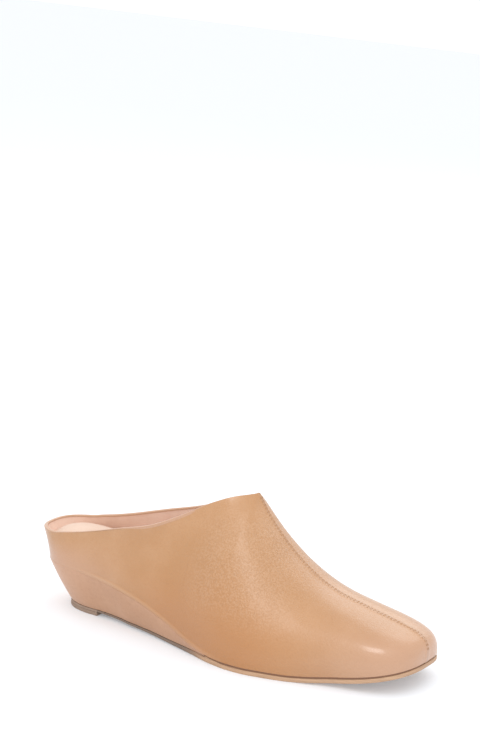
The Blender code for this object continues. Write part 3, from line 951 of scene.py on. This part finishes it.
@dataclass
class Bench:
    """Place where finished pieces are put into the scene."""

    shift: Vector
    made: list[str] = field(default_factory=list)

    def put(self, name: str, bm: BMesh, material: Material,
            nodes: tuple[str, ...] = ()) -> Object:
        """Make a piece from a bmesh in the shoe's own frame.

        Args:
            name: name of the piece.
            bm: its form; it is used up.
            material: its finish.
            nodes: solids that the piece stands for.

        Returns:
            The object.
        """
        bmesh.ops.translate(bm, verts=bm.verts[:], vec=self.shift)
        mesh = bpy.data.meshes.new(name)
        bm.to_mesh(mesh)
        bm.free()
        mesh.materials.append(material)
        mesh.shade_smooth()
        mesh.set_sharp_from_angle(angle=SHARP)
        piece = bpy.data.objects.new(name, mesh)
        bpy.context.scene.collection.objects.link(piece)
        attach(piece, "root")
        if nodes:
            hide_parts(*nodes)
        self.made.append(name)
        LOG.info("%s: %d vertices, %d faces", name, len(mesh.vertices), len(mesh.polygons))
        return piece


@dataclass
class Upper:
    """Leather upper: outer skin, turned collar edge, lining and centre-front seam."""

    last: Last
    finer: int = 6
    rows: int = 72
    edge_rise: float = 0.0005
    turn_depth: float = 0.0009
    turn_swell: float = 0.0003
    margin_width: float = 0.0027
    margin_flare: float = 0.0004
    ridge_rise: float = 0.0004
    ridge_width: float = 0.0018
    groove_depth: float = 0.0003
    groove_width: float = 0.0005
    seam_step: float = 0.0002
    stitch_length: float = 0.0015
    stitch_pitch: float = 0.0022
    stitch_radius: float = 0.00013
    stitch_inset: float = 0.0009
    stitch_lift: float = 0.00032
    row_gather: float = 0.6
    low_up: Span = Span(0.70, 0.10)
    low_shade_back: Span = Span(0.26, 0.44)
    low_shade_front: Span = Span(0.90, 0.62)
    low_shade_share: float = 0.8
    wrinkle_back: Span = Span(0.42, 0.54)
    wrinkle_front: Span = Span(0.80, 0.62)
    wrinkle_foot: Span = Span(0.12, 0.40)
    wrinkle_top: Span = Span(0.96, 0.80)
    heel_sheen: Span = Span(0.34, 0.02)
    heel_blush_up: Span = Span(0.95, 0.15)
    toe_blush: Span = Span(0.72, 0.98)
    toe_blush_up: Span = Span(0.9, 0.2)
    toe_blush_share: float = 0.7
    margin_back: Span = Span(0.10, 0.25)
    margin_front: Span = Span(0.62, 0.52)
    margin_rim: float = 0.16
    seam_fold: float = 0.35
    edge_foot: float = 0.0012
    edge_count: int = 9
    turn_tuck: float = 0.0004
    turn_shares: tuple[float, ...] = (0.1, 0.35, 0.65, 0.97)
    turn_rim: float = 0.35
    turn_pink: float = 0.75

    def row_shares(self) -> np.ndarray:
        """Shares of the rows up each rib, closer together at the foot and the top."""
        even = np.linspace(0.0, 1.0, self.rows)
        return self.row_gather * (1 - np.cos(pi * even)) / 2 + (1 - self.row_gather) * even

    def collar_columns(self) -> np.ndarray:
        """Tell for each column of the whole skin whether its top lies on the collar."""
        side = np.array([top < self.last.throat_reach for _, top in self.last.rib_places(self.finer)])
        return np.concatenate([side[::-1], side[1:]])

    def seam_line(self, points: np.ndarray, on_collar: np.ndarray) -> np.ndarray:
        """Evenly spaced places along the seam from the throat over the toe to the feather line."""
        outer = points[len(points) // 2:]
        tops = outer[~on_collar[len(points) // 2:], -1]
        return resampled(np.concatenate([tops, points[-1][::-1][1:]]), self.seam_step)

    def measured(self, points: np.ndarray, seam_line: np.ndarray) -> dict[str, np.ndarray]:
        """Numbers that the finish and the relief read at each vertex.

        Args:
            points: the skin's places by column and row.
            seam_line: places along the seam.

        Returns:
            The numbers by name, lengths in metres.
        """
        step = np.linalg.norm(np.diff(points, axis=1), axis=2)
        climbed = np.concatenate([np.zeros((len(points), 1)), np.cumsum(step, axis=1)], axis=1)
        share = climbed / climbed[:, -1:]
        x = points[:, :, 0] / self.last.length
        # Painted shade low on the side over the waist.
        low = self.low_up.step(share) * self.low_shade_back.step(x) * self.low_shade_front.step(x)
        wrinkle = self.wrinkle_back.step(x) * self.wrinkle_front.step(x) * self.wrinkle_foot.step(share)
        wrinkle *= self.wrinkle_top.step(points[:, :, 2] / self.last.instep_height)
        # Painted pale sheen low at the heel and on the toe.
        toe_pink = self.toe_blush.step(x) * self.toe_blush_up.step(share) * self.toe_blush_share
        pink = np.maximum(self.heel_sheen.step(x) * self.heel_blush_up.step(share), toe_pink)
        margin = Span(self.margin_width, self.margin_width / 2).step(climbed)
        margin *= self.margin_back.step(x) * self.margin_front.step(x)
        seam = distances(points, seam_line)
        # Painted shade along the seam's groove.
        fold = self.seam_fold * np.exp(-((seam / self.groove_width) ** 2))
        # The margin lifts the skin's foot and also paints a highlight along it.
        return {"low": self.low_shade_share * low, "wrinkle": wrinkle, "seam_far": seam, "margin": margin,
                "rim": self.margin_rim * margin, "fold": fold, "pink": pink}

    def fall(self, place: Vector) -> float:
        """Rise in metres of the leather's own soft troughs and ridges at a place on the skin."""
        rise = 0.0
        for crease in CREASES:
            across = (place.x - crease.along * self.last.length) / crease.width
            up = (place.z - crease.height * self.last.instep_height) / crease.length
            slanted = across + crease.slant * up
            if crease.side * place.y > 0:
                rise += crease.rise * float(np.exp(-slanted * slanted - up * up))
        return rise

    def skin(self) -> tuple[BMesh, np.ndarray, np.ndarray, np.ndarray]:
        """Outer face with its ridge, margin and creases.

        Returns:
            The bmesh, the places of the collar's edge, their outward directions and the seam's line.
        """
        points = self.last.shell(self.finer, self.row_shares())
        on_collar = self.collar_columns()
        seam_line = self.seam_line(points, on_collar)
        bm = laid_over(points, self.measured(points, seam_line))
        layers = bm.verts.layers.float
        seam_far, margin = layers["seam_far"], layers["margin"]
        heel = min(bm.verts, key=lambda vert: vert.co.x)
        if heel.normal.x > 0:
            bmesh.ops.reverse_faces(bm, faces=bm.faces[:])
            bm.normal_update()
        normals = {vert: vert.normal.copy() for vert in bm.verts}
        for vert in bm.verts:
            seam = vert[seam_far]
            rise = self.ridge_rise * np.exp(-((seam / self.ridge_width) ** 2))
            rise -= self.groove_depth * np.exp(-((seam / self.groove_width) ** 2))
            rise += self.margin_flare * vert[margin] + self.fall(vert.co)
            vert.co += normals[vert] * float(rise)
        for name in ("seam_far", "margin"):
            layers.remove(layers[name])
        return bm, points[on_collar, -1], sheet_normals(points)[on_collar, -1], seam_line

    def turned_edge(self, edge: np.ndarray, outward: np.ndarray) -> BMesh:
        """Leather turned over the collar's edge and down inside.

        Args:
            edge: places along the collar.
            outward: outward directions there.

        Returns:
            The bmesh.
        """
        tangent = np.roll(edge, -1, axis=0) - np.roll(edge, 1, axis=0)
        loop, normal, tangent = (np.concatenate([part, part[:1]]) for part in (edge, outward, tangent))
        tangent /= np.linalg.norm(tangent, axis=1, keepdims=True)
        normal -= tangent * np.sum(normal * tangent, axis=1, keepdims=True)
        normal /= np.linalg.norm(normal, axis=1, keepdims=True)
        up = np.cross(normal, tangent)
        up *= np.sign(up[:, 2:3] + 1e-9)
        half = self.last.wall / 2
        profile = [(0.0, -self.edge_foot), (0.0, -self.edge_foot / 2)]
        profile += [(half - half * cos(a), self.edge_rise * sin(a))
                    for a in np.linspace(0, pi, self.edge_count)]
        profile += [(2 * half + self.turn_swell, -self.turn_depth * t) for t in self.turn_shares]
        profile += [(2 * half - self.turn_tuck, -self.turn_depth)]
        points = np.array([[loop[i] - normal[i] * depth + up[i] * rise for depth, rise in profile]
                           for i in range(len(loop))])
        values = {name: np.zeros(points.shape[:2]) for name in ("rim", "fold", "low", "wrinkle", "pink")}
        # Painted shade on the tuck under the turned edge.
        values["fold"][:, -1] = 1.0
        # Painted highlight over the rolled top of the edge.
        values["rim"][:, 4:12] = self.turn_rim
        values["pink"][:] = self.turn_pink
        return laid_over(points, values)

    def lining(self) -> BMesh:
        """Inner face of the wall, from the feather line to just under the turned edge."""
        points = self.last.shell(self.finer // 2, self.row_shares()[::2])
        return laid_over(points - sheet_normals(points) * self.last.wall)

    def stitches(self, line: np.ndarray) -> BMesh:
        """One row of thread on each side of the seam.

        Args:
            line: places along the seam, evenly spaced.

        Returns:
            The bmesh.
        """
        bm = bmesh.new()
        stride = self.stitch_pitch / self.seam_step
        count = int(len(line) / stride) - 2
        for i in range(1, count):
            k = int((i + 0.5) * stride)
            along = Vector(line[k + 2] - line[k - 2]).normalized()
            up = Vector((-along.z, 0.0, along.x)).normalized()
            across = up.cross(along)
            for side in (-1, 1):
                middle = Vector(line[k]) + across * side * self.stitch_inset + up * self.stitch_lift
                made = bmesh.ops.create_uvsphere(bm, u_segments=6, v_segments=5, radius=1.0)
                place = Matrix((along * self.stitch_length / 2, across * self.stitch_radius,
                                up * self.stitch_radius)).transposed().to_4x4()
                place.translation = middle
                bmesh.ops.transform(bm, matrix=place, verts=made["verts"])
        bmesh.ops.recalc_face_normals(bm, faces=bm.faces[:])
        return bm

    def build(self, bench: Bench) -> None:
        """Put the upper's pieces into the scene."""
        leather = CalfLeather().material()
        skin, edge, outward, seam_line = self.skin()
        bench.put("upper_skin", skin, leather, ("upper",))
        bench.put("collar_edge", self.turned_edge(edge, outward), leather)
        bench.put("upper_lining", self.lining(), LINING.material())
        bench.put("seam_stitches", self.stitches(seam_line), Thread().material())


def section_loop(left: np.ndarray, right: np.ndarray, top: Height, bottom: Height, wide: int) -> np.ndarray:
    """Closed loop round a body at one station.

    Args:
        left: places up the outer side.
        right: places up the inner side.
        top: height of the upper face by x and share across.
        bottom: height of the lower face by x and share across.
        wide: points across each face.

    Returns:
        The loop's places, the first one repeated at the end.
    """
    def across(start: np.ndarray, end: np.ndarray, height: Height) -> list[np.ndarray]:
        """Points between two places at the heights given."""
        points = []
        for t in np.linspace(0, 1, wide + 2)[1:-1]:
            point = blend(start, end, t)
            points.append(np.array([point[0], point[1], height(point[0], t)]))
        return points

    loop = list(left) + across(left[-1], right[-1], top)
    loop += list(right[::-1]) + across(right[0], left[0], bottom)
    return np.array(loop + [loop[0]])


def edged_body(places: list[float], side_points: Callable[[float, Side], tuple[np.ndarray, list[float]]],
               top: Height, bottom: Height, wide: int) -> tuple[np.ndarray, np.ndarray]:
    """Loops of a flat body at its stations.

    Args:
        places: stations along the shoe.
        side_points: gives a station's places up one side and the groove's shade at each.
        top: height of the upper face.
        bottom: height of the lower face.
        wide: points across each face.

    Returns:
        The loops and the groove's shade at each of their places.
    """
    loops, shades = [], []
    flat = [0.0] * wide
    for x in places:
        (left, shade), (right, _) = (side_points(x, side) for side in Side)
        loops.append(section_loop(left, right, top, bottom, wide))
        shades.append(shade + flat + shade[::-1] + flat + shade[:1])
    return np.array(loops), np.array(shades)


def heel_places(start: float, arc: float, power: float, count: int) -> list[float]:
    """Stations round a heel, closer together at its back."""
    return [start + arc * (1 - cos(pi / 2 * i / count) ** (2 / power)) for i in range(count)]


@dataclass
class Wedge:
    """Covered wedge between the upper and the sole."""

    last: Last
    heel_count: int = 40
    side_count: int = 90
    wide: int = 10
    bulge: float = 0.0008
    top_tuck: float = 0.0005
    tuck_height: float = 0.0007
    lip_rise: float = 0.0008
    lip_depth: float = 0.0004
    fold_share: float = 0.5
    profile_count: int = 22
    foot_share: float = 0.3
    thin: float = 0.004
    tuck_back: Span = Span(0.10, 0.34)
    fold_back: Span = Span(0.16, 0.36)
    heel_sheen: Span = Span(0.24, 0.02)

    def profile(self) -> list[float]:
        """Shares of the height up the cover's side."""
        return [float(v) for v in 0.5 - 0.5 * np.cos(pi * np.linspace(0, 1, self.profile_count))]

    def side_points(self, top_x: float, low_x: float, side: Side) -> np.ndarray:
        """Places up one side of a station."""
        top = self.last.feather_point(top_x, side)
        low = self.last.tread_point(low_x, side, self.last.sole_top(low_x) + self.last.clearance)
        outward = np.append(self.last.outward(top_x, side), 0.0)
        height = max(top[2] - low[2], 1e-5)
        opened = float(self.tuck_back.step(top_x / self.last.length))
        points = []
        for t in self.profile():
            out = self.bulge * 4 * t * (1 - t) * height / self.last.wedge_height
            over = max(1 - (1 - t) * height / self.tuck_height, 0.0)
            under = max(1 - t * height / self.tuck_height, 0.0)
            tuck = self.top_tuck * (over ** 2 * opened + self.foot_share * under ** 2)
            tuck *= min(height / self.thin, 1.0)
            points.append(blend(low, top, t) + outward * (out - tuck))
        points.append(top - outward * (self.lip_depth + tuck) + np.array([0.0, 0.0, self.lip_rise]))
        return np.array(points)

    def build(self, bench: Bench) -> None:
        """Put the cover into the scene."""
        last = self.last
        front = last.wedge_front * last.length
        pairs = list(zip(heel_places(last.seat_setback, last.heel_arc, last.heel_power, self.heel_count),
                         heel_places(last.lift_setback, last.lift_arc, last.lift_power, self.heel_count)))
        for t in np.linspace(0, 1, self.side_count):
            pairs.append((blend(last.seat_setback + last.heel_arc, front, t),
                          blend(last.lift_setback + last.lift_arc, front, t)))
        points = np.array([section_loop(*(self.side_points(top, low, side) for side in Side),
                                        lambda x, t: last.feather_height(x),
                                        lambda x, t: last.sole_top(x) + last.clearance, self.wide)
                           for top, low in pairs])
        # Painted shade along the crease under the upper's foot, and a painted pale sheen towards the heel.
        fold = np.zeros(points.shape[:2])
        rows = len(self.profile())
        along = points[:, :, 0] / last.length
        opened = self.fold_back.step(along)
        for row in (rows - 1, rows, rows + 1 + self.wide, rows + 2 + self.wide):
            fold[:, row] = self.fold_share * opened[:, row]
        bm = closed_body(laid_over(points, {"fold": fold, "heel": self.heel_sheen.step(along)}))
        bench.put("wedge_cover", bm, CoverLeather().material(), ("wedge",))


@dataclass
class Insole:
    """Padded sock on its board, crowned under the heel."""

    last: Last
    finer: int = 3
    wide: int = 28
    lean: float = 0.8
    curve_count: int = 60
    side_count: int = 6

    def edge_points(self, foot_x: float, top_x: float, side: Side) -> np.ndarray:
        """Places up one side of a station, inside the wall."""
        last = self.last
        rise = read(PADDING, "edge", foot_x / last.length) * last.wedge_height
        handles = last.rib_handles(foot_x, top_x, side)
        shares = np.linspace(0.0, 1.0, self.curve_count)[:, None]
        curve = cubic(*handles, shares)
        reach = min(float(np.interp(rise, curve[:, 2] - curve[0, 2], shares[:, 0])), 1.0)
        outward = np.append(last.outward(foot_x, side), 0.0) * (last.wall + last.clearance) / self.lean
        points = cubic(*handles, np.linspace(0, reach, self.side_count)[:, None]) - outward
        points[0, 2] = last.feather_height(points[0, 0]) + last.clearance
        return points

    def build(self, bench: Bench) -> None:
        """Put the sock into the scene."""
        last = self.last
        loops = []
        for foot_x, top_x in last.rib_places(self.finer):
            left, right = (self.edge_points(foot_x, top_x, side) for side in Side)
            crown = read(PADDING, "crown", foot_x / last.length) * last.wedge_height
            height = (left[-1][2] + right[-1][2]) / 2
            loops.append(section_loop(left, right,
                                      lambda x, t, h=height, c=crown: h + c * (1 - (2 * t - 1) ** 2),
                                      lambda x, t: last.feather_height(x) + last.clearance, self.wide))
        bm = closed_body(laid_over(np.array(loops)))
        sock = bench.put("padded_sock", bm, SOCK.material(), ("insole",))


@dataclass
class Outsole:
    """Outsole from the lift to the toe, with a trimmed edge, a groove under the upper and a brown tread."""

    last: Last
    finer: int = 8
    wide: int = 10
    groove_height: float = 0.0010
    groove_depth: float = 0.0008
    edge_round: float = 0.0004
    step: float = 0.0001
    groove_back: Span = Span(0.50, 0.56)
    waist_shade_front: Span = Span(0.56, 0.47)

    def side_points(self, x: float, side: Side) -> tuple[np.ndarray, list[float]]:
        """Places up one side of a station and how far each lies in the groove.

        Args:
            x: place along the shoe.
            side: side of the shoe.

        Returns:
            The places and the groove's shade at each.
        """
        last = self.last
        low, top = last.sole_height(x), last.sole_top(x)
        high = top - low
        outward = np.append(last.outward(x, side), 0.0)
        groove = float(self.groove_back.step(x / last.length))
        lip = high - self.groove_height * groove
        bend = self.edge_round
        rises = [0.0, bend * 0.3, bend, lip * 0.5, lip - bend, lip - bend * 0.3, lip, lip + self.step,
                 (lip + high) / 2, high]
        sinks = [bend, bend * 0.3, 0.0, 0.0, 0.0, bend * 0.4, bend] + [self.groove_depth * groove] * 3
        # Painted shade in the groove under the upper.
        shades = [0.0] * 7 + [groove] * 3
        points = [last.tread_point(x, side, low + min(rise, high)) - outward * sink
                  for rise, sink in zip(rises, sinks)]
        return np.array(points), shades

    def build(self, bench: Bench) -> None:
        """Put the outsole into the scene."""
        last = self.last
        start = last.lift_setback + last.lift_length + last.clearance
        toe_start = last.length - last.toe_arc
        places = list(np.linspace(start, toe_start, 30 * self.finer // 2)[:-1])
        count = 10 * self.finer
        places += [toe_start + last.toe_arc * sin(pi / 2 * i / count) ** (2 / last.toe_power)
                   for i in range(count + 1)]
        points, shades = edged_body(places, self.side_points, lambda x, t: last.sole_top(x),
                                    lambda x, t: last.sole_height(x), self.wide)
        treads = np.zeros(shades.shape)
        treads[:, -1 - self.wide:-1] = 1.0
        # Painted shade along the waist, under the wedge.
        waist = self.waist_shade_front.step(points[:, :, 0] / last.length)
        bm = closed_body(laid_over(points, {"groove": shades, "tread": treads, "waist": waist}))
        bench.put("outsole_edge", bm, SoleEdge().material(), ("outsole",))


@dataclass
class TopPiece:
    """Heel lift of dark rubber in two layers, with a notch at its front."""

    last: Last
    count: int = 60
    wide: int = 8
    layer_share: float = 0.62
    layer_depth: float = 0.00025
    edge_round: float = 0.0003
    notch_half: float = 0.0002

    def side_points(self, x: float, side: Side) -> tuple[np.ndarray, list[float]]:
        """Places up one side of a station and how far each lies between the layers."""
        height = self.last.lift_step + self.last.waist_thickness
        split = height * self.layer_share
        bend, notch = self.edge_round, self.notch_half
        rows = [(0.0, bend, 0.0), (bend * 0.3, bend * 0.3, 0.0), (bend, 0.0, 0.0), (split - notch, 0.0, 0.0),
                (split, self.layer_depth, 1.0), (split + notch, 0.0, 0.0), (height - bend, 0.0, 0.0),
                (height, bend, 0.6)]
        outward = self.last.outward(max(x - self.last.lift_setback + self.last.seat_setback, 0.0), side)
        points = [self.last.tread_point(x, side, rise) - np.append(outward, 0.0) * sink
                  for rise, sink, _ in rows]
        return np.array(points), [shade for _, _, shade in rows]

    def build(self, bench: Bench) -> None:
        """Put the lift into the scene."""
        last = self.last
        height = last.lift_step + last.waist_thickness
        places = heel_places(last.lift_setback, last.lift_arc, last.lift_power, self.count)
        places.append(last.lift_setback + last.lift_length)
        points, shades = edged_body(places, self.side_points, lambda x, t: height, lambda x, t: 0.0,
                                    self.wide)
        bm = closed_body(laid_over(points, {"groove": shades}))
        bench.put("heel_lift", bm, LiftRubber().material(), ("top_piece",))


@dataclass
class Studio:
    """Pale floor, soft lights and the camera."""

    shift: Vector
    azimuth: float = radians(30.303)
    elevation: float = radians(13.704)
    roll: float = radians(3.483)
    distance: float = 1.37861
    aim: tuple[float, float, float] = (0.12367, 0.0, 0.15942)
    focal_pixels: float = 2445.55
    frame_pixels: float = 736.0
    sensor: float = 36.0
    clip: tuple[float, float] = (0.05, 20.0)
    floor_size: float = 6.0
    world_light: float = 1.04

    def camera(self) -> None:
        """Set the camera at the photograph's angle."""
        data = bpy.data.cameras.new("camera")
        data.sensor_width = self.sensor
        data.lens = self.focal_pixels * self.sensor / self.frame_pixels
        data.clip_start, data.clip_end = self.clip
        flat = cos(self.elevation)
        away = Vector((sin(self.azimuth) * flat, -cos(self.azimuth) * flat, sin(self.elevation)))
        right = Vector((cos(self.azimuth), sin(self.azimuth), 0.0))
        up = away.cross(right)
        turned_right = right * cos(self.roll) + up * sin(self.roll)
        turned_up = up * cos(self.roll) - right * sin(self.roll)
        place = Matrix((turned_right, turned_up, away)).transposed().to_4x4()
        place.translation = Vector(self.aim) + self.shift + away * self.distance
        camera = bpy.data.objects.new("camera", data)
        camera.matrix_world = place
        bpy.context.scene.collection.objects.link(camera)
        bpy.context.scene.camera = camera

    def softbox(self, row: LightRow) -> None:
        """Hang a soft light that faces the shoe."""
        data = bpy.data.lights.new(row.name, "AREA")
        data.size = row.size
        data.energy = row.power
        data.use_shadow = row.casts
        light = bpy.data.objects.new(row.name, data)
        light.location = row.place
        light.rotation_euler = (-Vector(row.place)).to_track_quat("-Z", "Y").to_euler()
        bpy.context.scene.collection.objects.link(light)

    def build(self) -> None:
        """Put the floor, the lights and the camera into the scene."""
        bm = bmesh.new()
        bmesh.ops.create_grid(bm, x_segments=2, y_segments=2, size=self.floor_size / 2)
        mesh = bpy.data.meshes.new("studio_floor")
        bm.to_mesh(mesh)
        bm.free()
        mesh.materials.append(StudioPaper().material())
        floor = bpy.data.objects.new("studio_floor", mesh)
        bpy.context.scene.collection.objects.link(floor)
        floor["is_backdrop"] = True
        world = bpy.data.worlds.new("studio_air")
        world.use_nodes = True
        air = world.node_tree.nodes["Background"]
        air.inputs["Color"].default_value = (1.0, 1.0, 1.0, 1.0)
        air.inputs["Strength"].default_value = self.world_light
        bpy.context.scene.world = world
        bpy.context.scene.view_settings.view_transform = "Standard"
        for row in LIGHTS:
            self.softbox(row)
        self.camera()


def main() -> None:
    """Build the shoe and its studio."""
    logging.basicConfig(level=logging.INFO, format="%(name)s %(message)s")
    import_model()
    solid_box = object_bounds()
    last = Last()
    low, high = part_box("top_piece")
    middle = last.centre(last.lift_setback + last.lift_length)
    shift = Vector((solid_box[0][0], (low[1] + high[1]) / 2 - middle, 0.0))
    bench = Bench(shift)
    Upper(last).build(bench)
    Wedge(last).build(bench)
    Insole(last).build(bench)
    Outsole(last).build(bench)
    TopPiece(last).build(bench)
    Studio(shift).build()
    LOG.info("%d pieces made", len(bench.made))


if __name__ == "__main__":
    main()
